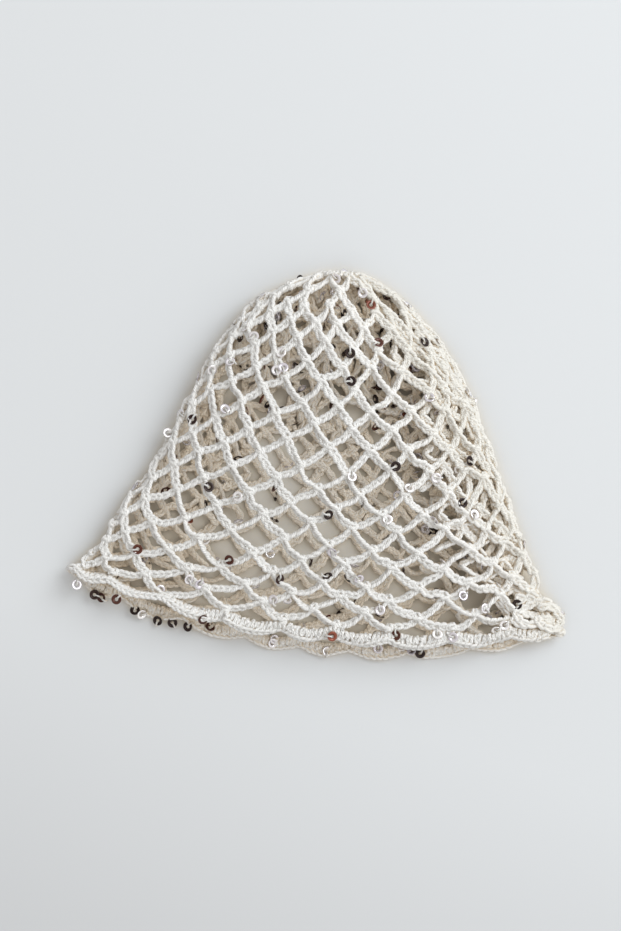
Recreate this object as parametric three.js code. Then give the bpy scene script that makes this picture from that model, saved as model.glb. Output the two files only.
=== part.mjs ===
// Openwork crochet hat with sequins, lying flat: the back layer on the floor, the front layer puffed
// over it. Millimetres, +Z up, +Y towards the crown; the origin is under the middle of the hat.
import * as THREE from 'three';

// The hat as it lies
const rimWidth = 297;
const hatLength = 234;
const puffHeight = 33;
const foldHeight = 9;

// The net: chains of cotton that cross in knots
const loopsPerRound = 10;
const chainWidth = 4.6;
const chainDepth = 3;
const knotGap = 0.3;
const landShare = 0.24; // the most of a loop that a knot's level land takes
const gatheredShare = 0.72; // the most of its room that a chain takes, where the loops are gathered

// The start ring and the scalloped edging
const ringWidth = 5;
const ringDepth = 4;
const edgingWidth = 7.5;
const edgingDepth = 3.6;
const scallopDrop = 4;

// Sequins: flat rings threaded on the yarn
const sequinDiameter = 6;
const sequinHole = 2.2;
const sequinThickness = 0.5;
const sequinSides = 10;
const sequinGap = 0.25;

// Each row is one line of knots, from the start ring to the rim. Its two folds lie at a share of the
// rim's width from the middle and at a share of the hat's length below the crown. sagFront and
// sagBack are how far the line bows towards the rim between its folds, as shares of the length,
// height is a share of the puff, turn is how far the knots have wound round the hat, in loops, and
// spread widens the loops at the middle of each layer and crowds them at the folds.
const lines = [
  { leftX: 0.013, leftY: 0.015, rightX: 0.094, rightY: 0.020, sagFront: 0.000, sagBack: 0.000, height: 0.40, turn: 0.500, spread: 0.020 },
  { leftX: -0.062, leftY: 0.046, rightX: 0.161, rightY: 0.072, sagFront: 0.008, sagBack: 0.008, height: 0.60, turn: 0.500, spread: 0.020 },
  { leftX: -0.124, leftY: 0.097, rightX: 0.225, rightY: 0.159, sagFront: 0.023, sagBack: 0.020, height: 0.82, turn: 0.500, spread: 0.020 },
  { leftX: -0.175, leftY: 0.167, rightX: 0.274, rightY: 0.251, sagFront: 0.044, sagBack: 0.035, height: 0.95, turn: 0.510, spread: 0.025 },
  { leftX: -0.215, leftY: 0.249, rightX: 0.318, rightY: 0.354, sagFront: 0.051, sagBack: 0.050, height: 1.00, turn: 0.550, spread: 0.030 },
  { leftX: -0.252, leftY: 0.338, rightX: 0.346, rightY: 0.446, sagFront: 0.062, sagBack: 0.065, height: 0.98, turn: 0.610, spread: 0.040 },
  { leftX: -0.292, leftY: 0.436, rightX: 0.373, rightY: 0.538, sagFront: 0.072, sagBack: 0.078, height: 0.92, turn: 0.675, spread: 0.050 },
  { leftX: -0.336, leftY: 0.528, rightX: 0.395, rightY: 0.641, sagFront: 0.072, sagBack: 0.085, height: 0.82, turn: 0.725, spread: 0.065 },
  { leftX: -0.391, leftY: 0.615, rightX: 0.423, rightY: 0.733, sagFront: 0.072, sagBack: 0.095, height: 0.71, turn: 0.765, spread: 0.080 },
  { leftX: -0.419, leftY: 0.692, rightX: 0.445, rightY: 0.815, sagFront: 0.074, sagBack: 0.105, height: 0.60, turn: 0.790, spread: 0.085 },
  { leftX: -0.472, leftY: 0.749, rightX: 0.484, rightY: 0.887, sagFront: 0.080, sagBack: 0.115, height: 0.51, turn: 0.825, spread: 0.090 },
  { leftX: -0.500, leftY: 0.796, rightX: 0.496, rightY: 0.939, sagFront: 0.087, sagBack: 0.125, height: 0.45, turn: 0.850, spread: 0.092 },
];
const rounds = lines.length - 2;

// The main sequins, dark or clear: on which strands of a round they sit. Strands are counted round
// the hat, and the part after the point is how far along its strand a sequin sits.
const sequinSeats = [
  { round: 2, dark: [1.7], clear: [4.3, 15.3] },
  { round: 3, dark: [0.3, 2.3, 3.7, 19.3], clear: [15.3] },
  { round: 4, dark: [18.3], clear: [0.7, 2.7, 14.7, 16.3] },
  { round: 5, dark: [], clear: [12.3] },
  { round: 6, dark: [12.3, 17.7, 19.7], clear: [11.7, 16.7, 18.7] },
  { round: 7, dark: [12.7, 15.3, 18.3], clear: [13.3, 16.7, 18.7] },
  { round: 8, dark: [], clear: [9.7, 14.7, 19.3] },
  { round: 9, dark: [11.7, 12.7, 13.7], clear: [14.3] },
  { round: 10, dark: [16.3], clear: [10.3, 11.7, 15.7] },
];

// The table at any place between two lines of knots, on a smooth curve through its rows
function shapeAt(line) {
  const first = Math.min(Math.max(Math.floor(line), 0), lines.length - 2);
  const t = line - first;
  const near = [-1, 0, 1, 2].map((step) => lines[Math.min(Math.max(first + step, 0), lines.length - 1)]);
  const shape = {};
  for (const column of Object.keys(lines[0])) {
    const [a, b, c, d] = near.map((row) => row[column]);
    const bend = 2 * a - 5 * b + 4 * c - d;
    const twist = 3 * (b - c) + d - a;
    shape[column] = b + 0.5 * t * (c - a + t * (bend + t * twist));
  }
  return shape;
}

// A point on the middle of the net, lifted clear of the floor: loop counts the loops round the hat,
// line the lines of knots. The front layer is an arch, the back one lies flat, and each fold rolls
// from one to the other.
const archPower = 0.8;
const sagPower = 2.2;
const rollPower = 1.5;
const rollShare = 0.65;
function netPoint(loop, line, lift) {
  const shape = shapeAt(line);
  const angle = 2 * Math.PI * (0.25 + (loop - shape.turn) / loopsPerRound);
  const across = -(Math.cos(angle) + shape.spread * Math.cos(3 * angle)) / (1 + shape.spread);
  const up = Math.sin(angle);
  const share = (across + 1) / 2;
  const sag = (up > 0 ? shape.sagFront : shape.sagBack) * (1 - Math.abs(across) ** sagPower);
  const x = rimWidth * (shape.leftX + (shape.rightX - shape.leftX) * share);
  const y = hatLength * (0.5 - shape.leftY - (shape.rightY - shape.leftY) * share - sag);
  const top = puffHeight * shape.height;
  const fold = (foldHeight / puffHeight) * Math.min(puffHeight, 1.4 * top);
  const roll = Math.max(0, 1 + up / rollShare) ** rollPower;
  const z = up > 0 ? fold + (top - fold) * up ** archPower : fold * roll;
  return new THREE.Vector3(x, y, z + lift);
}

// The net's directions at a point: along the loops, down the rounds and out of the surface, with the
// millimetres to a loop and to a round there
const slopeStep = 0.02;
function netFrame(loop, line, lift) {
  const step = slopeStep;
  const point = netPoint(loop, line, lift);
  const along = netPoint(loop + step, line, lift).sub(netPoint(loop - step, line, lift));
  const down = netPoint(loop, line + step, lift).sub(netPoint(loop, line - step, lift));
  const perLoop = along.length() / (2 * step);
  const perLine = down.length() / (2 * step);
  along.normalize();
  down.normalize();
  const out = new THREE.Vector3().crossVectors(down, along).normalize();
  return { point, along, down, out, perLoop, perLine };
}

// The line of the place that lies a distance down the net from another
function lineBelow(loop, line, distance) {
  const steps = 8;
  let at = line;
  for (let step = 0; step < steps; step++) at += distance / steps / netFrame(loop, at, 0).perLine;
  return at;
}

// A closed band through stations, each with its point, its sideways and its outward half extent
function bandGeometry(stations, section) {
  const positions = [];
  for (const station of stations) {
    for (const [side, out] of section) {
      const corner = station.point.clone().addScaledVector(station.side, side).addScaledVector(station.out, out);
      positions.push(corner.x, corner.y, corner.z);
    }
  }
  const indices = [];
  stations.forEach((station, s) => {
    const here = s * section.length;
    const next = ((s + 1) % stations.length) * section.length;
    section.forEach((corner, k) => {
      const l = (k + 1) % section.length;
      indices.push(here + k, here + l, next + l, here + k, next + l, next + k);
    });
  });
  const geometry = new THREE.BufferGeometry();
  geometry.setAttribute('position', new THREE.Float32BufferAttribute(positions, 3));
  geometry.setIndex(indices);
  geometry.computeVertexNormals();
  return geometry;
}

// Sections as shares of a half width and a half depth: a chain has one flat outer face
const chainSection = [[-1, 0], [0, -1], [1, 0], [0.6, 1], [-0.6, 1]];
const edgingSection = [[-1, 0], [-0.7, -1], [0.7, -1], [1, 0], [0.7, 1], [-0.7, 1]];

// Materials
const cotton = new THREE.MeshStandardMaterial({ color: 0xf0eadf, roughness: 0.95, metalness: 0 });
const darkFoil = new THREE.MeshStandardMaterial({ color: 0x3a2a22, roughness: 0.25, metalness: 0.6 });
const clearFoil = new THREE.MeshStandardMaterial({ color: 0xdcdce0, roughness: 0.2, metalness: 0.3 });

const hat = new THREE.Group();
function addPiece(name, geometry, material) {
  const mesh = new THREE.Mesh(geometry, material);
  mesh.name = name;
  hat.add(mesh);
}

// The start ring, whose outer face the first round is worked into
const ringStations = [];
const ringSteps = 2 * loopsPerRound;
for (let step = 0; step < ringSteps; step++) {
  const frame = netFrame(0.5 * step, 0, ringDepth / 2);
  ringStations.push({
    point: frame.point,
    side: frame.down.clone().multiplyScalar(-ringWidth / 2),
    out: frame.out.clone().multiplyScalar(ringDepth / 2),
  });
}
addPiece('crown_ring', bandGeometry(ringStations, edgingSection), cotton);

// One round of the net: a chain that zigzags between two lines of knots. It has a short level land
// at each knot, where it meets the land of the next round.
function roundStations(round) {
  const stations = [];
  const lift = chainDepth / 2;
  for (let corner = 0; corner < 2 * loopsPerRound; corner++) {
    const lower = corner % 2;
    const loop = (round - 1) / 2 + corner / 2;
    const line = round - 1 + lower;
    const knot = netFrame(loop, line, lift);
    const land = Math.min(chainWidth, landShare * knot.perLoop) / 2 / knot.perLoop;
    const above = round === 1 && !lower ? ringWidth / 2 + knotGap : knotGap / 2;
    const inset = (above + chainWidth / 2) * (lower ? -1 : 1);
    const landLine = lineBelow(loop, line, inset);
    for (const edge of [-1, 1]) {
      const end = netFrame(loop + edge * land, landLine, lift);
      stations.push({
        point: end.point,
        side: end.down.clone().multiplyScalar(-chainWidth / 2),
        out: end.out.clone().multiplyScalar(chainDepth / 2),
      });
    }
    const middle = netFrame(loop + 0.25, round - 0.5, lift);
    const run = netPoint(loop + 0.5, line + (lower ? -1 : 1), lift).sub(knot.point);
    const side = new THREE.Vector3().crossVectors(middle.out, run).normalize();
    const room = 0.5 * middle.perLoop * Math.abs(side.dot(middle.along));
    stations.push({
      point: middle.point,
      side: side.multiplyScalar(Math.min(chainWidth, gatheredShare * room) / 2),
      out: middle.out.clone().multiplyScalar(chainDepth / 2),
    });
  }
  return stations;
}

const netRounds = [];
for (let round = 1; round <= rounds; round++) {
  const stations = roundStations(round);
  netRounds.push(stations);
  addPiece(`net_round_${String(round).padStart(2, '0')}`, bandGeometry(stations, chainSection), cotton);
}

// The edging: a band of close stitches under the last line of knots, a scallop between two knots
const scallops = 2 * loopsPerRound;
const stepsPerScallop = 4;
const edgingStations = [];
for (let step = 0; step < scallops * stepsPerScallop; step++) {
  const loop = (0.5 * step) / stepsPerScallop;
  const wave = Math.abs(Math.sin((Math.PI * step) / stepsPerScallop));
  const line = lineBelow(loop, rounds, knotGap / 2 + edgingWidth / 2 + scallopDrop * wave);
  const frame = netFrame(loop, line, edgingDepth / 2);
  edgingStations.push({
    point: frame.point,
    side: frame.down.clone().multiplyScalar(-edgingWidth / 2),
    out: frame.out.clone().multiplyScalar(edgingDepth / 2),
  });
}
addPiece('rim_edging', bandGeometry(edgingStations, edgingSection), cotton);

// A sequin: a flat ring with a round hole
function sequinGeometry() {
  const inner = sequinHole / 2;
  const outer = sequinDiameter / 2;
  const half = sequinThickness / 2;
  const profile = [[inner, -half], [outer, -half], [outer, half], [inner, half], [inner, -half]];
  return new THREE.LatheGeometry(profile.map(([x, y]) => new THREE.Vector2(x, y)), sequinSides);
}

// Each sequin lies on the outer face of its strand
const counts = { dark: 0, clear: 0 };
const foils = { dark: darkFoil, clear: clearFoil };
function addSequin(kind, round, strand) {
  const stations = netRounds[round - 1];
  const along = 2 * (strand % 1);
  const start = stations[3 * Math.floor(strand) + 1 + Math.floor(along)];
  const end = stations[(3 * Math.floor(strand) + 2 + Math.floor(along)) % stations.length];
  const seat = start.point.clone().lerp(end.point, along % 1);
  const run = end.point.clone().sub(start.point).normalize();
  const out = start.out.clone().add(end.out);
  out.addScaledVector(run, -out.dot(run)).normalize();
  seat.addScaledVector(out, (chainDepth + sequinThickness) / 2 + sequinGap);
  counts[kind] += 1;
  const sequin = new THREE.Mesh(sequinGeometry(), foils[kind]);
  sequin.name = `${kind}_sequin_${String(counts[kind]).padStart(2, '0')}`;
  sequin.position.copy(seat);
  sequin.quaternion.setFromUnitVectors(new THREE.Vector3(0, 1, 0), out);
  hat.add(sequin);
}
for (const seat of sequinSeats) {
  for (const kind of ['dark', 'clear']) {
    for (const strand of seat[kind]) addSequin(kind, seat.round, strand);
  }
}

// The hat's box is centred over the origin, with its lowest face on the floor
const box = new THREE.Box3().setFromObject(hat, true);
const middle = box.getCenter(new THREE.Vector3());
hat.position.set(-middle.x, -middle.y, -box.min.z);

export default hat;
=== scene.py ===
import math

import bpy
import numpy as np
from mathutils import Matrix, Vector


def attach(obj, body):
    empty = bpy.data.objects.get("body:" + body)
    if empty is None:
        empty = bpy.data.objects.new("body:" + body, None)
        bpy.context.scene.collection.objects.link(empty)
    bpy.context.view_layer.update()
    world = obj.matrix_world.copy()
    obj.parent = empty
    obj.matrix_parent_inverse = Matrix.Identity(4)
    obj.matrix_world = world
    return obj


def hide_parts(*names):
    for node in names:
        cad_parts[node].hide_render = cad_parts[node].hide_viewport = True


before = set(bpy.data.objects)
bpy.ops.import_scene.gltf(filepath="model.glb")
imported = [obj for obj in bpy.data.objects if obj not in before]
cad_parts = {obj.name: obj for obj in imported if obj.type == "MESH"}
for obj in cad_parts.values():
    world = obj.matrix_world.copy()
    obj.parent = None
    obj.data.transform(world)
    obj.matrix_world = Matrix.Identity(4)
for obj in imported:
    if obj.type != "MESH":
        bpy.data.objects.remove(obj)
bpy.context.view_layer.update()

# The view. The hat lies on a pale table top and is seen from straight above, with its crown away from
# the viewer. A pixel of the photograph is worked out from the rim, 495 pixels from fold to fold.
photo_size = np.array([621, 931])
hat_middle_in_photo = np.array([315.5, 465.0])
rim_width = 0.297
pixel = rim_width / 495
camera_height = 1.4


def from_photo(x, y):
    """The place on the table top under a pixel of the photograph."""
    right = (x - hat_middle_in_photo[0]) * pixel
    return np.array([right, (hat_middle_in_photo[1] - y) * pixel])


eye = from_photo(*photo_size / 2)
camera_data = bpy.data.cameras.new("camera")
camera = bpy.data.objects.new("camera", camera_data)
camera.location = (eye[0], eye[1], camera_height)
camera_data.lens = camera_data.sensor_width * camera_height / (photo_size[1] * pixel)
camera_data.clip_start = 0.05
camera_data.clip_end = 20
bpy.context.scene.collection.objects.link(camera)
bpy.context.scene.camera = camera

# The net's shape, a row for each line of knots from the start ring to the rim: where the line's two
# folds lie, how far it bows towards the rim on the front and on the back, its height, how far its
# knots have wound round the hat, and how much wider its loops are at the middle than at the folds.
hat_length = 0.234
puff_height = 0.033
fold_height = 0.009
loops_round = 10
chain_depth = 0.003
lines = np.array([
    # left x, left y, right x, right y, sag front, sag back, height, turn, spread
    [0.013, 0.015, 0.094, 0.020, 0.000, 0.000, 0.40, 0.500, 0.020],
    [-0.062, 0.046, 0.161, 0.072, 0.008, 0.008, 0.60, 0.500, 0.020],
    [-0.124, 0.097, 0.225, 0.159, 0.023, 0.020, 0.82, 0.500, 0.020],
    [-0.175, 0.167, 0.274, 0.251, 0.044, 0.035, 0.95, 0.510, 0.025],
    [-0.215, 0.249, 0.318, 0.354, 0.051, 0.050, 1.00, 0.550, 0.030],
    [-0.252, 0.338, 0.346, 0.446, 0.062, 0.065, 0.98, 0.610, 0.040],
    [-0.292, 0.436, 0.373, 0.538, 0.072, 0.078, 0.92, 0.675, 0.050],
    [-0.336, 0.528, 0.395, 0.641, 0.072, 0.085, 0.82, 0.725, 0.065],
    [-0.391, 0.615, 0.423, 0.733, 0.072, 0.095, 0.71, 0.765, 0.080],
    [-0.419, 0.692, 0.445, 0.815, 0.074, 0.105, 0.60, 0.790, 0.085],
    [-0.472, 0.749, 0.484, 0.887, 0.080, 0.115, 0.51, 0.825, 0.090],
    [-0.500, 0.796, 0.496, 0.939, 0.087, 0.125, 0.45, 0.850, 0.092],
])
last_line = len(lines) - 2
sideways = -0.00045


sag_fullness = 2.2
arch_fullness = 0.8
flat_reach = 0.65
flat_fullness = 1.5
fold_share = 1.4


def net_shape(loop, line):
    """Points on the middle of the net, loop counting round the hat and line down it, and how far
    each lies from the hat's middle, from -1 at its left fold to 1 at its right one."""
    loop, line = np.broadcast_arrays(loop, line)
    first = np.clip(np.floor(line), 0, len(lines) - 2).astype(int)
    t = (line - first)[..., None]
    a, b, c, d = (lines[np.clip(first + k, 0, len(lines) - 1)] for k in (-1, 0, 1, 2))
    bend = 2 * a - 5 * b + 4 * c - d
    shape = b + 0.5 * t * (c - a + t * (bend + t * (3 * (b - c) + d - a)))
    left_x, left_y, right_x, right_y, sag_front, sag_back, height, turn, spread = np.moveaxis(shape, -1, 0)
    angle = 2 * np.pi * (0.25 + (loop - turn) / loops_round)
    across = -(np.cos(angle) + spread * np.cos(3 * angle)) / (1 + spread)
    up = np.sin(angle)
    front = up > 0
    share = (across + 1) / 2
    sag = np.where(front, sag_front, sag_back) * (1 - np.abs(across) ** sag_fullness)
    top = puff_height * height
    fold = fold_height / puff_height * np.minimum(puff_height, fold_share * top)
    arch = fold + (top - fold) * np.maximum(up, 0) ** arch_fullness
    flat = fold * np.maximum(0, 1 + up / flat_reach) ** flat_fullness
    x = rim_width * (left_x + (right_x - left_x) * share) + sideways
    y = hat_length * (0.5 - left_y - (right_y - left_y) * share - sag)
    return np.stack([x, y, np.where(front, arch, flat) + chain_depth / 2], -1), across


def net_point(loop, line):
    return net_shape(loop, line)[0]


def unit(vectors):
    return vectors / np.maximum(np.linalg.norm(vectors, axis=-1, keepdims=True), 1e-12)


# The back layer isn't as smooth as the front. It is bunched up under the crown and along the right
# fold, so its loops wander sideways there. The further layers of gathers lie under the front.
bunched_by = 0.0055
waves = np.random.default_rng(3).uniform([[150, 0.0, 0.0]], [[290, 6.28, 6.28]], (2, 3, 3))


def rise(value, start, end):
    """0 before start and 1 after end, with a soft step between."""
    t = np.clip((value - start) / (end - start), 0, 1)
    return t * t * (3 - 2 * t)


wave_sum = 1.7
push_up_beneath = 0.0022
push_up_at_fold = 0.004
sink_under_front = 0.0028
draw_inwards = 0.0015


def draped(loop, line, layer=0):
    """Points on the net with its back bunched up. The gathers are further layers."""
    points, from_middle = net_shape(loop, line)
    place = points[..., :2]
    under = rise(points[..., 2], 0.0095, 0.006)
    right = rise(place[..., 0], 0.01, 0.10) * rise(line, 2, 4)
    crown = rise(line, 7.0, 3.0) * rise(line, 0.2, 1.6)
    margin = rise(1 - np.abs(from_middle), 0.02, 0.35)
    ruffled = rise(from_middle, 0.50, 0.80) * rise(line, 0.8, 2.4) * (0.30 if layer == 0 else 0.55)
    amount = bunched_by * (under * margin * np.maximum(0.25, np.maximum(crown, right)) + ruffled)
    moves = []
    for axis in range(2):
        wave = 0
        for number, direction, phase in waves[axis]:
            across = place[..., 0] * np.cos(direction) + place[..., 1] * np.sin(direction)
            wave = wave + np.sin(number * across + phase + 2.1 * layer)
        moves.append(amount * wave / wave_sum)
    pushed_up = push_up_beneath * under + push_up_at_fold * under * rise(place[..., 0], 0.05, 0.10)
    sunk = layer * (1 - under)
    raised = 0.25 * np.abs(moves[0]) + layer * pushed_up - sink_under_front * sunk
    return points + np.stack([moves[0] - draw_inwards * sunk, moves[1], raised], -1)


def net_axes(loop, line):
    """The net's directions: along the loops, down the rounds and out, and the metres to a line."""
    step = 0.02
    along = net_point(loop + step, line) - net_point(loop - step, line)
    down = net_point(loop, line + step) - net_point(loop, line - step)
    per_line = np.linalg.norm(down, axis=-1) / (2 * step)
    along, down = unit(along), unit(down)
    return along, down, unit(np.cross(down, along)), per_line


def line_below(loop, line, distance):
    """The line of the places that lie a distance down the net."""
    steps = 8
    for _ in range(steps):
        line = line + distance / steps / net_axes(loop, line)[3]
    return line


# The yarn. Soft cotton, some 2 mm thick, plied from thin strands that wind round it. Every stitch is
# a length of it, swept round its path, with the length and the way round kept for the ply.
yarn_radius = 0.00126
yarn_sides = 5


def smooth_path(corners, steps, closed=False):
    """Points on a smooth curve through the corners of each path, an array of paths of corners."""
    count = corners.shape[1]
    spans = count if closed else count - 1
    at = np.arange(spans * steps + (0 if closed else 1)) / steps
    first = np.minimum(np.floor(at), spans - 1).astype(int)
    t = (at - first)[None, :, None]
    picks = [first + k for k in (-1, 0, 1, 2)]
    picks = [p % count if closed else np.clip(p, 0, count - 1) for p in picks]
    a, b, c, d = (corners[:, p] for p in picks)
    bend = 2 * a - 5 * b + 4 * c - d
    return b + 0.5 * t * (c - a + t * (bend + t * (3 * (b - c) + d - a)))


def sweep(paths, radius, closed=False, sides=yarn_sides):
    """Tubes along an array of paths: their points, faces and the ply's coordinates at each corner."""
    count, steps, _ = paths.shape
    if closed:
        ahead, behind = np.roll(paths, -1, 1), np.roll(paths, 1, 1)
    else:
        ahead = np.concatenate([paths[:, 1:], 2 * paths[:, -1:] - paths[:, -2:-1]], 1)
        behind = np.concatenate([2 * paths[:, :1] - paths[:, 1:2], paths[:, :-1]], 1)
    run = unit(ahead - behind)
    side = np.zeros_like(run)
    start = np.cross(run[:, 0], [0.31, 0.17, 0.94])
    side[:, 0] = unit(start)
    for k in range(1, steps):
        kept = side[:, k - 1] - run[:, k] * (side[:, k - 1] * run[:, k]).sum(-1, keepdims=True)
        side[:, k] = unit(kept)
    up = np.cross(run, side)
    turn = 2 * np.pi * np.arange(sides) / sides
    ring = side[:, :, None] * np.cos(turn)[:, None] + up[:, :, None] * np.sin(turn)[:, None]
    points = (paths[:, :, None] + radius * ring).reshape(-1, 3)
    spans = steps if closed else steps - 1
    k = np.arange(spans)[:, None]
    s = np.arange(sides)[None]
    here, there = k * sides, (k + 1) % steps * sides
    nxt = (s + 1) % sides
    quads = np.stack([here + s, here + nxt, there + nxt, there + s], -1).reshape(-1, 4)
    offset = np.arange(count)[:, None, None] * steps * sides
    faces = (quads[None] + offset).reshape(-1, 4)
    step_lengths = np.linalg.norm(np.diff(paths, axis=1), axis=-1)
    length = np.concatenate([np.zeros((count, 1)), step_lengths.cumsum(1)], 1)
    length = np.concatenate([length, length[:, -1:] + 0.001], 1)
    u = np.stack([length[:, :spans]] * 2 + [length[:, 1:spans + 1]] * 2, -1)
    u = np.repeat(u[:, :, None], sides, 2)
    v = np.stack([s, s + 1, s + 1, s], -1)[None] / sides * np.ones_like(u)
    ends = []
    if not closed:
        base = np.arange(count)[:, None] * steps * sides
        first = base + np.arange(sides)[::-1][None]
        last = base + (steps - 1) * sides + np.arange(sides)[None]
        ends = [first, last]
    return points, faces, np.stack([u, v], -1).reshape(-1, 2), ends


def yarn_piece(name, tubes, material):
    """One mesh of many swept tubes, riding on the hat."""
    points, loops, sizes, coordinates, base = [], [], [], [], 0
    for tube_points, faces, tube_coordinates, ends in tubes:
        points.append(tube_points)
        loops.append((faces + base).ravel())
        sizes.append(np.full(len(faces), 4))
        coordinates.append(tube_coordinates)
        for caps in ends:
            loops.append((caps + base).ravel())
            sizes.append(np.full(len(caps), caps.shape[1]))
            coordinates.append(np.zeros((caps.size, 2)))
        base += len(tube_points)
    points, loops = np.concatenate(points), np.concatenate(loops)
    sizes, coordinates = np.concatenate(sizes), np.concatenate(coordinates)
    mesh = bpy.data.meshes.new(name)
    mesh.vertices.add(len(points))
    mesh.vertices.foreach_set("co", points.astype(np.float32).ravel())
    mesh.loops.add(len(loops))
    mesh.loops.foreach_set("vertex_index", loops.astype(np.int32))
    mesh.polygons.add(len(sizes))
    mesh.polygons.foreach_set("loop_start", (np.cumsum(sizes) - sizes).astype(np.int32))
    mesh.update(calc_edges=True)
    mesh.polygons.foreach_set("use_smooth", np.ones(len(sizes), bool))
    layer = mesh.uv_layers.new(name="ply")
    layer.data.foreach_set("uv", coordinates.astype(np.float32).ravel())
    mesh.materials.append(material)
    mesh.update()
    piece = bpy.data.objects.new(name, mesh)
    bpy.context.scene.collection.objects.link(piece)
    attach(piece, "root")
    return piece


class Socket:
    """A material's socket, so that its numbers can be added and multiplied in plain sums."""

    tree = None

    def __init__(self, link):
        self.link = link

    @classmethod
    def node(cls, kind, settings=None, output=0, **values):
        made = cls.tree.nodes.new(kind)
        for key, value in (settings or {}).items():
            setattr(made, key, value)
        for key, value in values.items():
            slot = made.inputs[int(key[1:])] if key[1:].isdigit() else made.inputs[key.replace("_", " ")]
            if isinstance(value, Socket):
                cls.tree.links.new(value.link, slot)
            else:
                slot.default_value = value
        return cls(made.outputs[output])

    def maths(self, operation, other):
        return self.node("ShaderNodeMath", {"operation": operation}, i0=self, i1=other)

    def __add__(self, other):
        return self.maths("ADD", other)

    def __mul__(self, other):
        return self.maths("MULTIPLY", other)

    __radd__ = __add__
    __rmul__ = __mul__

    def sine(self):
        return self.maths("SINE", 0.0)

    def part(self, number):
        return self.node("ShaderNodeSeparateXYZ", None, number, Vector=self)

    def share(self, low, high):
        """0 at low and 1 at high."""
        return self.node("ShaderNodeMapRange", None, 0, Value=self, From_Min=low, From_Max=high)


def new_material(name):
    material = bpy.data.materials.new(name)
    material.use_nodes = True
    Socket.tree = material.node_tree
    return material, material.node_tree.nodes["Principled BSDF"]


def blend(share, low, high):
    return Socket.node("ShaderNodeMix", {"data_type": "RGBA"}, 2, i0=share, i6=low, i7=high)


def set_inputs(shader, **values):
    for key, value in values.items():
        slot = shader.inputs[key.replace("_", " ")]
        if isinstance(value, Socket):
            Socket.tree.links.new(value.link, slot)
        else:
            slot.default_value = value


# Off-white cotton, with fine plies winding round it and a little fuzz. Light and shade are painted into
# its colour. It is warmer where it is hidden, and lighter inside than cotton is, a painted bounce light
# for the light that comes through the yarn. Its ply grooves and creases are darkened, a painted shade,
# which is lighter in its creases along the right fold, and its strands along the right fold are painted
# darker, a painted shade.
ply_turn = 0.0052
plies = 4
cotton, shader = new_material("cotton")
length_and_round = Socket.node("ShaderNodeUVMap", {"uv_map": "ply"})
along_yarn, round_yarn = length_and_round.part(0), length_and_round.part(1)
ply_wave = (along_yarn * (2 * math.pi * plies / ply_turn) + round_yarn * (2 * math.pi * plies)).sine()
place = Socket.node("ShaderNodeTexCoord", None, 3)
fuzz = Socket.node("ShaderNodeTexNoise", None, 0, Vector=place, Scale=2600.0, Detail=3.0)
patches = Socket.node("ShaderNodeTexNoise", None, 0, Vector=place, Scale=60.0, Detail=2.0)
groove = ply_wave * 0.5 + 0.5
# The share of hidden yarn, from a wide AO and the height, that gets the painted warm bounce light and the
# warm painted crease shade.
high = place.part(2).share(0.0055, 0.010)
seen = Socket.node("ShaderNodeAmbientOcclusion", {"samples": 6}, 1, Distance=0.05) + high * 0.22
openness = seen.share(0.32, 0.74)
lit = blend(patches, (0.82, 0.825, 0.83, 1), (0.78, 0.778, 0.77, 1))
# Painted shade: the strands along the right fold are painted darker.
to_fold = place.part(0) + place.part(1) * 0.55
painted_shade_at_fold = to_fold.share(0.070, 0.092)
lit = blend(painted_shade_at_fold, lit, (0.73, 0.722, 0.692, 1))
# Painted bounce light: the colour is warm and light where the yarn is hidden.
tone_with_painted_bounce = blend(openness, (1.0, 0.89, 0.74, 1), lit)
# Painted shade in the creases between yarns, found by a short AO, and in the ply grooves; it is warm where
# the yarn is hidden.
close_by = Socket.node("ShaderNodeAmbientOcclusion", {"samples": 4}, 1, Distance=0.0022)
crevice = close_by.share(0.15, 0.75)
painted_crease_shade = blend(openness, (0.62, 0.56, 0.48, 1), (0.42, 0.41, 0.40, 1))
# Painted light: the painted crease shade is lighter along the right fold.
painted_crease_light_near_fold = to_fold.share(0.035, 0.075)
painted_crease_shade = blend(painted_crease_light_near_fold, painted_crease_shade, (0.90, 0.82, 0.70, 1))
painted_shade = blend(groove * 0.25 + crevice * 0.75, painted_crease_shade, (1.0, 1.0, 1.0, 1))
# The painted shade darkens the colour by multiplying it.
darken = {"data_type": "RGBA", "blend_type": "MULTIPLY"}
colour = Socket.node("ShaderNodeMix", darken, 2, i0=0.85, i6=tone_with_painted_bounce, i7=painted_shade)
bump = Socket.node(
    "ShaderNodeBump", None, 0, Strength=0.8, Distance=0.00030, Height=ply_wave * 0.7 + fuzz * 0.6
)
set_inputs(shader, Base_Color=colour, Roughness=0.92, Normal=bump)
shader.inputs["Sheen Weight"].default_value = 0.35
shader.inputs["Sheen Roughness"].default_value = 0.5
shader.inputs["Specular IOR Level"].default_value = 0.25

# The net. Chains of four stitches or so run from knot to knot, and each round's knots are worked into
# the chains of the round above. Near the crown every second chain is left out, so the net starts with
# ten loops and goes on with twenty.
stitch_length = 0.0044
chain_width = 0.0054
rows_of_knots = 2 * last_line
widened_at = 3
rng = np.random.default_rng(7)
knot_drift = rng.normal(0, 1, (rows_of_knots + 2, 4 * loops_round, 3)) * [0.0011, 0.0011, 0.0004]

# A stitch: a loop of yarn that opens ahead, and the bump that carries it on at the back
chain_stitch = np.array([
    # share of the length, of the width and of the depth
    [0.00, -0.08, 0.35],
    [0.45, -0.42, 0.50],
    [0.95, -0.50, 0.15],
    [1.28, 0.00, -0.25],
    [0.95, 0.50, 0.15],
    [0.45, 0.42, 0.50],
    [0.00, 0.08, 0.35],
    [0.30, 0.10, -0.70],
    [1.00, -0.08, 0.35],
])


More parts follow.
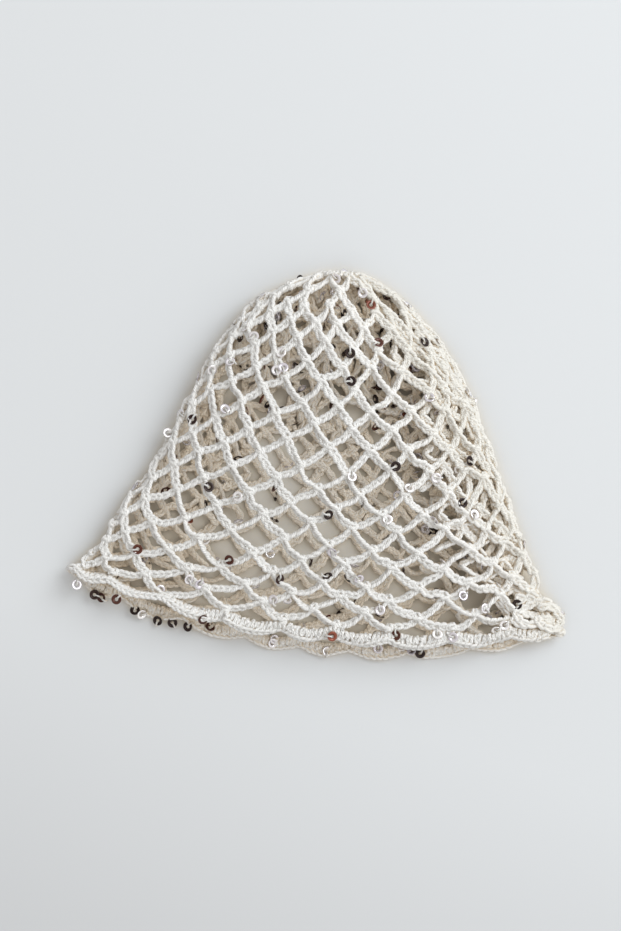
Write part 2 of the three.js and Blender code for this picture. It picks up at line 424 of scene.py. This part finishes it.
def strand_point(strands, t, layer=0):
    """Points along strands, each a row of loop, row of knots, step round, bow, roll, twist and sway."""
    loop0, row0, step = strands[:, 0, None], strands[:, 1, None], strands[:, 2, None]
    loop, line = loop0 + step * t, (row0 + t) / 2
    points = draped(loop, line, layer)
    starts, ends = (draped(loop0 + step * end, (row0 + end) / 2, layer) for end in (0, 1))
    from_middle = net_shape(loop0 + step / 2, (row0 + 0.5) / 2)[1][..., None]
    # at the folds a strand is pulled straight between its knots, so that the knots stand out
    taut = 0.8 * rise(-from_middle, 0.72, 0.90) + 0.5 * rise(from_middle, 0.80, 0.95)
    points = points + taut * (starts + (ends - starts) * t[..., None] - points)
    along, down, out, _ = net_axes(loop, line)
    for end, share in ((0, 1 - t), (1, t)):
        row = (row0 + end).astype(int)
        place_round = np.round(4 * (loop0 + step * end)).astype(int) % (4 * loops_round)
        drift = knot_drift[row, place_round] * share[..., None]
        points = points + along * drift[..., :1] + down * drift[..., 1:2] + out * drift[..., 2:]
    inner = np.clip(t, 0, 1)[..., None]
    bow = strands[:, 3, None, None] * np.sin(np.pi * inner)
    sway = strands[:, 6, None, None] * np.sin(2 * np.pi * inner)
    return points + down * (bow + sway), out


def chains(strands, layer=0, steps=2):
    """The chain stitches of some strands, as smooth paths. Each chain is turned about itself a little."""
    t = np.linspace(0, 1, 9)[None].repeat(len(strands), 0)
    points, _ = strand_point(strands, t, layer)
    length = np.linalg.norm(np.diff(points, axis=1), axis=-1).sum(1)
    counts = np.maximum(2, np.round(length / stitch_length)).astype(int)
    which = np.repeat(np.arange(len(strands)), counts)
    number = np.concatenate([np.arange(n) for n in counts])
    each = strands[which]
    t = (number[:, None] + chain_stitch[None, :, 0]) / counts[which][:, None]
    centre, out = strand_point(each, t, layer)
    ahead, _ = strand_point(each, t + 0.02, layer)
    behind, _ = strand_point(each, t - 0.02, layer)
    run = unit(ahead - behind)
    side = unit(np.cross(out, run))
    out = np.cross(run, side)
    roll = each[:, 4, None, None] + each[:, 5, None, None] * (t[..., None] - 0.5)
    over = np.sign(each[:, 2, None, None])
    across = chain_stitch[None, :, 1:2] * (chain_width * (1 + 0.08 * over) - 2 * yarn_radius)
    lift = chain_stitch[None, :, 2:] * (chain_depth - 2 * yarn_radius + 0.0003) + 0.0004 * over
    corners = centre + side * (across * np.cos(roll) - lift * np.sin(roll))
    corners += out * (across * np.sin(roll) + lift * np.cos(roll)) + rng.normal(0, 0.00011, corners.shape)
    paths = smooth_path(corners, steps)
    paths[..., 2] = np.maximum(paths[..., 2], yarn_radius)
    return paths


def strands_of_row(row):
    """The strands between two rows of knots."""
    found = []
    for place_round in range(2 * loops_round):
        loop = 0.5 * place_round + 0.25 * row
        for step in (0.25, -0.25):
            carried_on = (place_round if step > 0 else place_round + row) % 2 == 0
            if row >= widened_at or carried_on:
                bow = rng.normal(0.0014 + 0.0007 * rise(row, 11, 18), 0.0006)
                sway = rng.normal(0.0003, 0.0005)
                found.append([loop, row, step, bow, rng.normal(0.40, 0.55), rng.normal(0, 0.9), sway])
    return np.array(found)


# A knot: a single crochet stitch round the chain above, two turns of yarn and the loop on their top
knot_path = np.array([
    # millimetres down the net, along it and out
    [-2.1, -0.7, 0.2], [0.0, -1.5, 0.9], [1.9, -0.8, 0.3], [2.3, 0.2, -0.6], [1.5, 0.9, 0.4],
    [-0.2, 1.5, 0.9], [-2.0, 0.7, 0.2], [-1.2, -0.3, -0.9], [0.4, -2.0, -0.2], [0.2, -0.3, 1.5],
    [0.3, 1.9, 0.1], [0.6, 0.6, -1.0],
]) / 1000


def knots_of_row(row):
    places = np.arange(2 * loops_round)
    if row < widened_at:
        places = places[places % 2 == 0] if row == 2 else places[:0]
    loop, line = 0.5 * places + 0.25 * row, np.full(len(places), row / 2)
    centre = draped(loop, line)
    along, down, out, _ = net_axes(loop, line)
    drift = knot_drift[row, np.round(4 * loop).astype(int) % (4 * loops_round)]
    centre = centre + along * drift[:, :1] + down * drift[:, 1:2] + out * drift[:, 2:]
    size = rng.uniform(1.05, 1.25, (len(places), 1, 1))
    axes = np.stack([down, along, out], 1)
    paths = smooth_path(centre[:, None] + size * np.einsum("kc,ncd->nkd", knot_path, axes), 2, True)
    paths[..., 2] = np.maximum(paths[..., 2], yarn_radius)
    return paths


stitch_places = []
for number in range(1, last_line + 1):
    tubes = []
    for row in (2 * number - 2, 2 * number - 1):
        paths = chains(strands_of_row(row))
        tubes.append(sweep(paths, yarn_radius))
        stitch_places.append(paths)
        knots = knots_of_row(row + 1)
        if len(knots):
            tubes.append(sweep(knots, yarn_radius, True))
    piece = yarn_piece(f"crochet_round_{number:02d}", tubes, cotton)
    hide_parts(f"net_round_{number:02d}")

# The gathers: more of the net than its outline has room for, pushed up under the crown, in the left
# fold and along the right one. They are further chains of the same yarn, seen through the front.
beneath_height = 0.006
left_fold_height = 0.009
gathers_right_end = 0.135
beneath_tubes, fold_tubes = [], []
for layer, first_row, last_row in ((1, 0, rows_of_knots), (2, 1, rows_of_knots)):
    for row in range(first_row, last_row):
        strands = strands_of_row(max(row, widened_at))
        strands[:, 1] = row
        strands[:, 0] += 0.2 * layer
        middle, from_middle = net_shape(strands[:, 0] + 0.5 * strands[:, 2], (row + 0.5) / 2)
        left_end = -0.05 + 0.011 * max(0, row - 6)
        beneath = (middle[:, 2] < beneath_height) & (middle[:, 0] > left_end)
        beneath &= middle[:, 0] < gathers_right_end
        in_left_fold = (middle[:, 2] < left_fold_height) & (from_middle < -0.55) & (from_middle > -0.96)
        beneath |= in_left_fold & (layer == 1) & (row > 8)
        fold_start = 0.44 + 0.14 * layer + 0.18 * rise(row, 12, 17)
        along_fold = ~beneath & (from_middle > fold_start) & (from_middle < 0.97) & (row > 2 * layer + 1)
        if beneath.any() and (layer == 1 or row < 8):
            beneath_tubes.append(sweep(chains(strands[beneath], layer, 2), yarn_radius, sides=4))
        if along_fold.any():
            fold_tubes.append(sweep(chains(strands[along_fold], layer, 1), yarn_radius))
yarn_piece("crochet_gathers_beneath", beneath_tubes, cotton)
yarn_piece("crochet_gathers_in_fold", fold_tubes, cotton)

# The corner of the rim at the right fold is curled over. Four loose loops of chain, of the same cotton,
# lie there on the layer below, each a bent arc that leans its own way.
curl_height = 0.0128
curl_slope = 0.28
curl_wave = 0.0012
curl_depth = 0.0008
tubes = []
for x, y, across, up, lean, first, last in (
    (537, 611, 0.0125, 0.0068, 0.10, 0.9, 5.4),
    (534, 615, 0.0120, 0.0044, 0.25, 2.6, 7.4),
    (546, 616, 0.0085, 0.0058, -0.30, 3.4, 8.6),
    (528, 603, 0.0080, 0.0030, -0.35, 0.4, 3.6),
):
    stitches = round((last - first) * math.hypot(across, up) / 1.414 / stitch_length)
    angle = first + (last - first) * (np.arange(stitches)[:, None] + chain_stitch[None, :, 0]) / stitches
    wobble = 1 + 0.13 * np.sin(2 * angle + 9 * lean) + 0.07 * np.sin(5 * angle)
    turned = np.array([[math.cos(lean), -math.sin(lean)], [math.sin(lean), math.cos(lean)]])
    oval = np.stack([across * np.cos(angle), up * np.sin(angle)], -1) * wobble[..., None]
    outward = unit(np.stack([np.cos(angle) / across, np.sin(angle) / up], -1))
    flat = (oval + outward * chain_stitch[None, :, 1:2] * (chain_width - 2 * yarn_radius)) @ turned.T
    height = curl_height - curl_slope * flat[..., 0] + curl_wave * np.sin(1.7 * angle)
    height = height + chain_stitch[None, :, 2] * curl_depth
    corners = np.concatenate([from_photo(x, y) + flat, height[..., None]], -1)
    tubes.append(sweep(smooth_path(corners + rng.normal(0, 0.00015, corners.shape), 2), yarn_radius))
yarn_piece("crochet_curl_at_corner", tubes, cotton)

# The edging: single crochet worked close over the last chains, so it hangs in a scallop between each
# two knots. Its stitches lie side by side as ribs, with a row of chain along the lower edge.
edging_width = 0.0075
edging_depth = 0.0036
scallop_drop = 0.004
rib_pitch = 0.0014
knot_gap = 0.0003
winding_fullness = 0.0006
winding_slant = 0.35
edge_chain_pitch = 0.0036


def edging_centre(loop):
    wave = np.abs(np.sin(2 * np.pi * loop))
    line = line_below(loop, last_line + 0 * loop, knot_gap / 2 + edging_width / 2 + scallop_drop * wave)
    along, down, out, _ = net_axes(loop, line)
    return net_point(loop, line) + [0, 0, (edging_depth - chain_depth) / 2], down, out


def even_loops(centre_of, count):
    """Places round the hat at even distances along a band."""
    loop = np.linspace(0, loops_round, 801)
    points = centre_of(loop)[0]
    length = np.concatenate([[0], np.linalg.norm(np.diff(points, axis=0), axis=-1).cumsum()])
    return np.interp(np.arange(count) / count * length[-1], length, loop), length[-1]


def ribs(centre_of, width, depth, pitch, slant=0.0):
    """A close winding round a flat band. On its outer face its turns slant one way and the other."""
    total = even_loops(centre_of, 10)[1]
    turns = 2 * round(total / pitch / 2)
    steps = 14
    loop, _ = even_loops(centre_of, turns * steps)
    jitter = np.repeat(rng.normal(0, 0.20 * loops_round / turns, turns), steps)
    angle = 2 * np.pi * np.arange(turns * steps) / steps
    way = np.repeat((-1.0) ** np.arange(turns), steps)
    shift = way * slant * loops_round / turns * np.cos(angle) * (np.sin(angle) > -0.3)
    centre, down, out = centre_of(loop + jitter + shift)
    wobble = 1 + 0.11 * np.repeat(rng.normal(0, 1, turns), steps)
    across = (width / 2 - yarn_radius) * np.cos(angle) * wobble
    lift = (depth / 2 - yarn_radius) * np.sin(angle)
    path = centre + down * across[:, None] + out * lift[:, None] + rng.normal(0, 0.0003, centre.shape)
    path[:, 2] = np.maximum(path[:, 2], yarn_radius)
    return path[None]


def edge_chain(centre_of, width, pitch):
    """A row of chain stitches along the lower edge of a band."""
    count = round(even_loops(centre_of, 10)[1] / pitch)
    loop = even_loops(centre_of, count)[0]
    step = np.append(loop[1:], loops_round) - loop
    at = loop[:, None] + chain_stitch[None, :, 0] * step[:, None]
    centre, down, out = centre_of(at)
    run = unit(centre_of(at + 0.01)[0] - centre_of(at - 0.01)[0])
    outward = unit(down + 0.7 * out)
    side = np.cross(outward, run)
    corners = centre + down * (0.42 * width) + side * (chain_stitch[None, :, 1:2] * (edging_depth * 0.7))
    corners += outward * (chain_stitch[None, :, 2:] * 0.0012) + rng.normal(0, 0.00014, corners.shape)
    paths = smooth_path(corners, 2)
    paths[..., 2] = np.maximum(paths[..., 2], yarn_radius)
    return paths


rolled_back = 0.0022


def leaning_centre(loop):
    """The band's middle and its directions, where it leans one way and the other as it goes round."""
    centre, down, out = edging_centre(loop)
    lean = 0.35 * np.sin(4.1 * loop + 1.0) + 0.25 * np.sin(9.7 * loop) + 0.2 * np.sin(17.3 * loop + 2)
    rolled = rise(-centre[..., 0], 0.05, 0.09) * rise(centre[..., 2], 0.004, 0.007)
    lean = (lean * (1 - 0.5 * rolled) + 1.25 * rolled)[..., None]
    centre = centre - down * (rolled_back * rolled)[..., None]
    return centre, down * np.cos(lean) + out * np.sin(lean), out * np.cos(lean) - down * np.sin(lean)


tubes = [
    sweep(
        ribs(leaning_centre, edging_width, edging_depth + winding_fullness, rib_pitch, winding_slant),
        yarn_radius,
        True,
    ),
    sweep(edge_chain(leaning_centre, edging_width, edge_chain_pitch), yarn_radius * 0.85),
]
piece = yarn_piece("edging_stitches", tubes, cotton)
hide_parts("rim_edging")

# The start ring: a short chain of the same cotton, closed to a ring at the top of the crown. The first
# round's stitches are worked round it, close together, so it looks wound.
ring_width = 0.005
ring_depth = 0.0044
ring_pitch = 0.0024
ring_lift = 0.0005


def ring_centre(loop):
    along, down, out, _ = net_axes(loop, 0 * loop)
    return net_point(loop, 0 * loop) + [0, 0, ring_lift], down, out


tubes = [sweep(ribs(ring_centre, ring_width, ring_depth, ring_pitch), yarn_radius * 1.1, True)]
piece = yarn_piece("crown_ring_stitches", tubes, cotton)
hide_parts("crown_ring")

# The sequins: thin cupped rings, pressed from foil, threaded on the yarn. One is turned from a circle
# of edges, and the others are copies of it.
sequin_radius = 0.003
sequin_hole = 0.0011
sequin_wall = 0.00022
cup_widening = 1.9
cup_rise = 0.00028
brim_rise = 0.00034
bpy.ops.object.select_all(action="DESELECT")
bpy.ops.mesh.primitive_circle_add(vertices=16, radius=sequin_hole, location=(0, 0, 0))
pattern = bpy.context.object
pattern.name = "sequin_pattern"
bpy.ops.object.mode_set(mode="EDIT")
bpy.ops.mesh.select_all(action="SELECT")
bpy.ops.mesh.extrude_edges_move()
bpy.ops.transform.resize(value=(cup_widening, cup_widening, 1))
bpy.ops.transform.translate(value=(0, 0, cup_rise))
bpy.ops.mesh.extrude_edges_move()
bpy.ops.transform.resize(value=(sequin_radius / sequin_hole / cup_widening,) * 2 + (1,))
bpy.ops.transform.translate(value=(0, 0, brim_rise))
bpy.ops.mesh.select_all(action="SELECT")
bpy.ops.mesh.normals_make_consistent(inside=False)
bpy.ops.object.mode_set(mode="OBJECT")
wall = pattern.modifiers.new("wall", "SOLIDIFY")
wall.thickness = sequin_wall
wall.offset = 0
bpy.ops.object.modifier_apply(modifier="wall")
pattern_points = np.array([v.co for v in pattern.data.vertices])
pattern_faces = np.array([p.vertices for p in pattern.data.polygons])
bpy.data.objects.remove(pattern)


def sequin_piece(name, centres, facings, tints, material):
    """Sequins as one piece, each with its own place, facing and tint."""
    facings = unit(facings)
    side = unit(np.cross(facings, [0.2, 0.95, 0.1]))
    axes = np.stack([side, np.cross(facings, side), facings], 1)
    points = centres[:, None] + np.einsum("pc,ncd->npd", pattern_points, axes)
    points[..., 2] += np.maximum(0.0001 - points[..., 2].min(1, keepdims=True), 0)
    offset = np.arange(len(centres))[:, None, None] * len(pattern_points)
    faces = (pattern_faces[None] + offset).reshape(-1, 4)
    mesh = bpy.data.meshes.new(name)
    mesh.from_pydata(points.reshape(-1, 3), [], faces.tolist())
    mesh.polygons.foreach_set("use_smooth", np.ones(len(faces), bool))
    tint = mesh.attributes.new("tint", "FLOAT", "POINT")
    tint.data.foreach_set("value", np.repeat(tints, len(pattern_points)).astype(np.float32))
    mesh.materials.append(material)
    piece = bpy.data.objects.new(name, mesh)
    bpy.context.scene.collection.objects.link(piece)
    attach(piece, "root")
    return piece


# Dark foil: glossy pressed plastic, bronze black, and copper or rose on some of the sequins. Each
# sequin has its own tint, kept on its points.
dark_foil, shader = new_material("dark_foil")
tint = Socket.node("ShaderNodeAttribute", {"attribute_name": "tint"}, 2)
base = blend(tint.maths("POWER", 4.5), (0.024, 0.014, 0.013, 1), (0.22, 0.065, 0.04, 1))
set_inputs(shader, Base_Color=base, Roughness=0.16, Metallic=0.3)
shader.inputs["Specular IOR Level"].default_value = 0.28

# Clear foil: thin glossy pressed plastic that lets a little light through, from clear lilac to pearly
# white by each sequin's own tint.
clear_foil, shader = new_material("clear_foil")
tint = Socket.node("ShaderNodeAttribute", {"attribute_name": "tint"}, 2)
base = blend(tint, (0.62, 0.59, 0.66, 1), (0.92, 0.91, 0.92, 1))
set_inputs(shader, Base_Color=base, Roughness=0.10, Metallic=0.55)
shader.inputs["Coat Weight"].default_value = 0.8
shader.inputs["Alpha"].default_value = 0.86

taken = []
taken_facings = []
for kind, count, material in (("dark", 16, dark_foil), ("clear", 21, clear_foil)):
    for number in range(1, count + 1):
        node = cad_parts[f"{kind}_sequin_{number:02d}"]
        corners = np.array([node.matrix_world @ v.co for v in node.data.vertices])
        centre = corners.mean(0)
        facing = np.linalg.svd(corners - centre)[2][2]
        facing = facing * np.sign(facing @ (centre - [0, 0, -0.1])) + rng.normal(0, 0.25, 3)
        own_tint = rng.uniform(0, 1, 1)
        name = f"{kind}_foil_{number:02d}"
        piece = sequin_piece(name, centre[None], facing[None], own_tint, material)
        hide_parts(f"{kind}_sequin_{number:02d}")
        taken.append(centre)
        taken_facings.append(facing)

# The other sequins near the top, by pixel. Those on top were read off the picture. The tucked ones are
# partly read and partly filled in. Each is moved to the uppermost yarn near its place.
dark_on_top = np.array([
    [433, 532], [92, 603], [101, 601], [112, 609], [133, 614], [157, 626], [172, 634],
    [186, 629], [203, 619], [210, 627], [138, 549], [332, 636], [396, 635], [420, 653],
])
dark_tucked = np.array([
    [165, 490], [162, 495], [169, 493], [203, 495], [205, 505], [291, 579], [335, 579], [340, 516],
    [363, 503], [296, 424], [236, 457], [204, 424], [405, 461], [407, 571], [355, 599], [506, 611],
    [484, 557], [199, 419], [218, 487], [275, 489], [218, 440], [188, 520], [310, 562], [371, 432],
    [451, 498], [470, 560], [120, 575], [165, 575], [256, 600], [340, 610], [240, 340], [230, 365],
])
clear_on_top = np.array([
    [75, 588], [225, 409], [258, 302], [264, 297], [254, 336], [281, 353], [273, 371], [336, 279],
    [404, 300], [356, 481], [409, 488], [434, 520], [332, 548], [189, 579], [144, 558], [303, 628],
    [327, 651], [378, 648], [464, 598], [437, 634], [453, 637], [504, 625], [496, 630], [559, 615],
    [168, 433], [212, 370], [471, 401], [142, 614], [380, 610], [361, 295],
])
clear_tucked = np.array([
    [187, 406], [237, 367], [344, 271], [416, 472], [429, 475], [459, 470], [467, 519], [390, 522],
    [244, 489], [137, 564], [145, 592], [130, 493], [255, 588], [482, 600], [517, 532], [525, 557],
    [481, 566], [240, 508], [237, 518], [222, 487], [438, 411], [428, 397], [345, 386], [287, 601],
    [354, 565], [395, 470], [401, 560], [443, 560], [500, 585], [530, 600], [205, 540], [160, 590],
])
edging_reach = 0.0055
lowest_sequin = 0.0015
stitches_counted = sum(len(paths) for paths in stitch_places)
edging_places = edging_centre(np.linspace(0, loops_round, 300))[0]
yarn_places = np.concatenate([paths.mean(1) for paths in stitch_places] + [edging_places])


def on_the_floor(places):
    """Where the camera sees places against the table top."""
    share = 1 - places[..., 2:] / camera_height
    return eye + (places[..., :2] - eye) / share


def seated(spots, above, reach, apart):
    """Places on the uppermost yarn near some pixels, without those that are taken already."""
    targets = np.stack(from_photo(spots[:, 0], spots[:, 1]), -1)
    free = np.linalg.norm(targets[:, None] - on_the_floor(np.array(taken))[None], axis=-1).min(1) > apart
    targets = targets[free]
    distance = np.linalg.norm(targets[:, None] - on_the_floor(yarn_places)[None], axis=-1)
    best = np.argmin(distance - 0.12 * yarn_places[None, :, 2], axis=1)
    yarn = yarn_places[best]
    aside = eye + (targets - eye) * (1 - yarn[:, 2:] / camera_height) - yarn[:, :2]
    length = np.linalg.norm(aside, axis=-1, keepdims=True)
    limit = np.where(best[:, None] >= stitches_counted, edging_reach, reach)
    aside = aside * np.minimum(1, limit / np.maximum(length, 1e-6))
    height = np.maximum(yarn[:, 2:] + above, lowest_sequin)
    return np.concatenate([yarn[:, :2] + aside, height], -1)


def scattered(count, places, lowest=0.0015, highest=0.003):
    """Places on the yarn inside the hat, taken by chance."""
    centres = places[rng.choice(len(places), count, replace=False)]
    return centres + rng.uniform([-0.002, -0.002, lowest], [0.002, 0.002, highest], (count, 3))


inside = yarn_places[yarn_places[:, 2] < 0.006]
in_crown = inside[(inside[:, 1] > 0.03) & (inside[:, 0] > -0.05) & (inside[:, 2] < 0.004)]
in_fold = inside[(inside[:, 0] > 0.03) & (inside[:, 1] < 0.05)]
groups = [
    ("dark_sequins_on_top", seated(dark_on_top, 0.0022, 0.0026, 0.0045), 0.30, dark_foil, "dark_foil"),
    ("dark_sequins_tucked", seated(dark_tucked, -0.0022, 0.0032, 0.0075), 3.0, dark_foil, "dark_foil"),
    ("clear_sequins_on_top", seated(clear_on_top, 0.0022, 0.0026, 0.0045), 0.35, clear_foil, "clear_foil"),
    ("clear_sequins_tucked", seated(clear_tucked, -0.0016, 0.0030, 0.0075), 2.0, clear_foil, "clear_foil"),
    ("dark_sequins_in_crown", scattered(80, in_crown, 0.0025, 0.0085), 1.6, dark_foil, "dark_foil"),
    ("clear_sequins_in_crown", scattered(28, in_crown, 0.0025, 0.0085), 1.0, clear_foil, "clear_foil"),
    ("dark_sequins_inside", scattered(26, inside), 2.0, dark_foil, "dark_foil"),
    ("clear_sequins_inside", scattered(26, inside), 1.0, clear_foil, "clear_foil"),
    ("clear_sequins_in_fold", scattered(30, in_fold), 1.0, clear_foil, "clear_foil"),
]
threads = []
for name, centres, tilt, material, kind in groups:
    facings = np.array([0, 0, 1.0]) + rng.normal(0, 1, centres.shape) * [tilt, tilt, 0.3]
    tints = rng.uniform(0, 1, len(centres))
    sequin_piece(name, centres, facings, tints, material)
    if "on_top" in name:
        threads.append((centres, facings))

# The threads: each sequin is held by a fine strand of the cotton, which comes up through its hole and
# goes down over its edge. Only the main sequins and those on top are given one.
thread_radius = 0.00055
thread_path = np.array([
    # millimetres out from the middle and along the sequin's facing
    [-0.5, -1.6], [0.0, -0.3], [0.6, 0.7], [1.8, 1.25], [3.0, 1.1], [3.7, 0.2], [3.6, -1.2],
]) / 1000
for number, centre in enumerate(taken):
    threads.append((centre[None], np.array(taken_facings[number])[None]))
centres = np.concatenate([group[0] for group in threads])
facings = unit(np.concatenate([group[1] for group in threads]))
turn = unit(np.cross(facings, rng.normal(0, 1, facings.shape)))
outwards, upwards = thread_path[None, :, :1], thread_path[None, :, 1:]
corners = centres[:, None] + turn[:, None] * outwards + facings[:, None] * upwards
paths = smooth_path(corners, 2)
paths[..., 2] = np.maximum(paths[..., 2], thread_radius)
yarn_piece("sequin_threads", [sweep(paths, thread_radius, sides=4)], cotton)

# The loose fibres: fine short hairs of cotton that stand off the yarn and give it a soft edge. They
# are closest together along the right fold and the rim.
fibre_radius = 0.00009
fibres = 1800
rooms = yarn_places[yarn_places[:, 2] > 0.004]
to_fold = rise(rooms[:, 0] + 0.55 * rooms[:, 1], 0.05, 0.09) + rise(-rooms[:, 1], 0.085, 0.10)
odds = 0.25 + np.minimum(to_fold, 1)
roots = rooms[rng.choice(len(rooms), fibres, p=odds / odds.sum())]
heading = unit(rng.normal(0, 1, (fibres, 3)) * [1, 1, 0.35])
curl = unit(np.cross(heading, rng.normal(0, 1, (fibres, 3))))
reach = rng.uniform(0.002, 0.0055, (fibres, 1))
corners = np.stack([
    roots + heading * reach * (share - 0.15) + curl * reach * bend + [0, 0, lifted]
    for share, bend, lifted in ((0, 0, 0), (0.33, 0.14, 0.0014), (0.66, 0.05, 0.0015), (1, -0.22, 0.0008))
], 1)
corners[..., 2] = np.maximum(corners[..., 2], 0.0004)
yarn_piece("loose_fibres", [sweep(corners, fibre_radius, sides=3)], cotton)

# The table top: a pale painted board, a touch blue, that gets a little darker towards the viewer, a
# painted shade. It is warmer close under the hat, a painted bounce light where the light comes off the
# cotton.
bpy.ops.mesh.primitive_plane_add(size=24, location=(0, 0, 0))
floor = bpy.context.object
floor.name = "table_top"
paint, shader = new_material("table_top")
# Painted bounce light: the board is warmer where a wide AO finds the hat close by.
seen = Socket.node("ShaderNodeAmbientOcclusion", {"samples": 6}, 1, Distance=0.06)
openness = seen.share(0.40, 0.66)
place = Socket.node("ShaderNodeTexCoord", None, 3)
# Painted shade: the board is darker towards the viewer.
away = (place.part(0) * 0.35 + place.part(1)).share(-0.34, -0.14)
board = blend(away, (0.492, 0.508, 0.532, 1), (0.572, 0.594, 0.622, 1))
set_inputs(shader, Base_Color=blend(openness, (0.65, 0.605, 0.525, 1), board), Roughness=0.75)
floor.data.materials.append(paint)

# The light: a wide window to the right, a little towards the crown, and a pale room that is brighter
# on the window's side.
window_data = bpy.data.lights.new("window", "AREA")
window_data.shape = "RECTANGLE"
window_data.size = 1.6
window_data.size_y = 2.0
window_data.energy = 45
window_data.color = (0.94, 0.98, 1.0)
window = bpy.data.objects.new("window", window_data)
window.location = (1.6, 1.1, 1.7)
window.rotation_euler = (-Vector(window.location)).to_track_quat("-Z", "Y").to_euler()
bpy.context.scene.collection.objects.link(window)

world = bpy.data.worlds.new("room")
bpy.context.scene.world = world
world.use_nodes = True
Socket.tree = world.node_tree
to_window = Socket.node("ShaderNodeTexCoord", None, 0).part(0).share(-0.9, 0.7)
background = world.node_tree.nodes["Background"]
room = blend(to_window, (0.52, 0.50, 0.475, 1), (1.0, 0.98, 0.94, 1))
world.node_tree.links.new(room.link, background.inputs["Color"])
background.inputs["Strength"].default_value = 1.17
bpy.context.scene.view_settings.view_transform = "Standard"
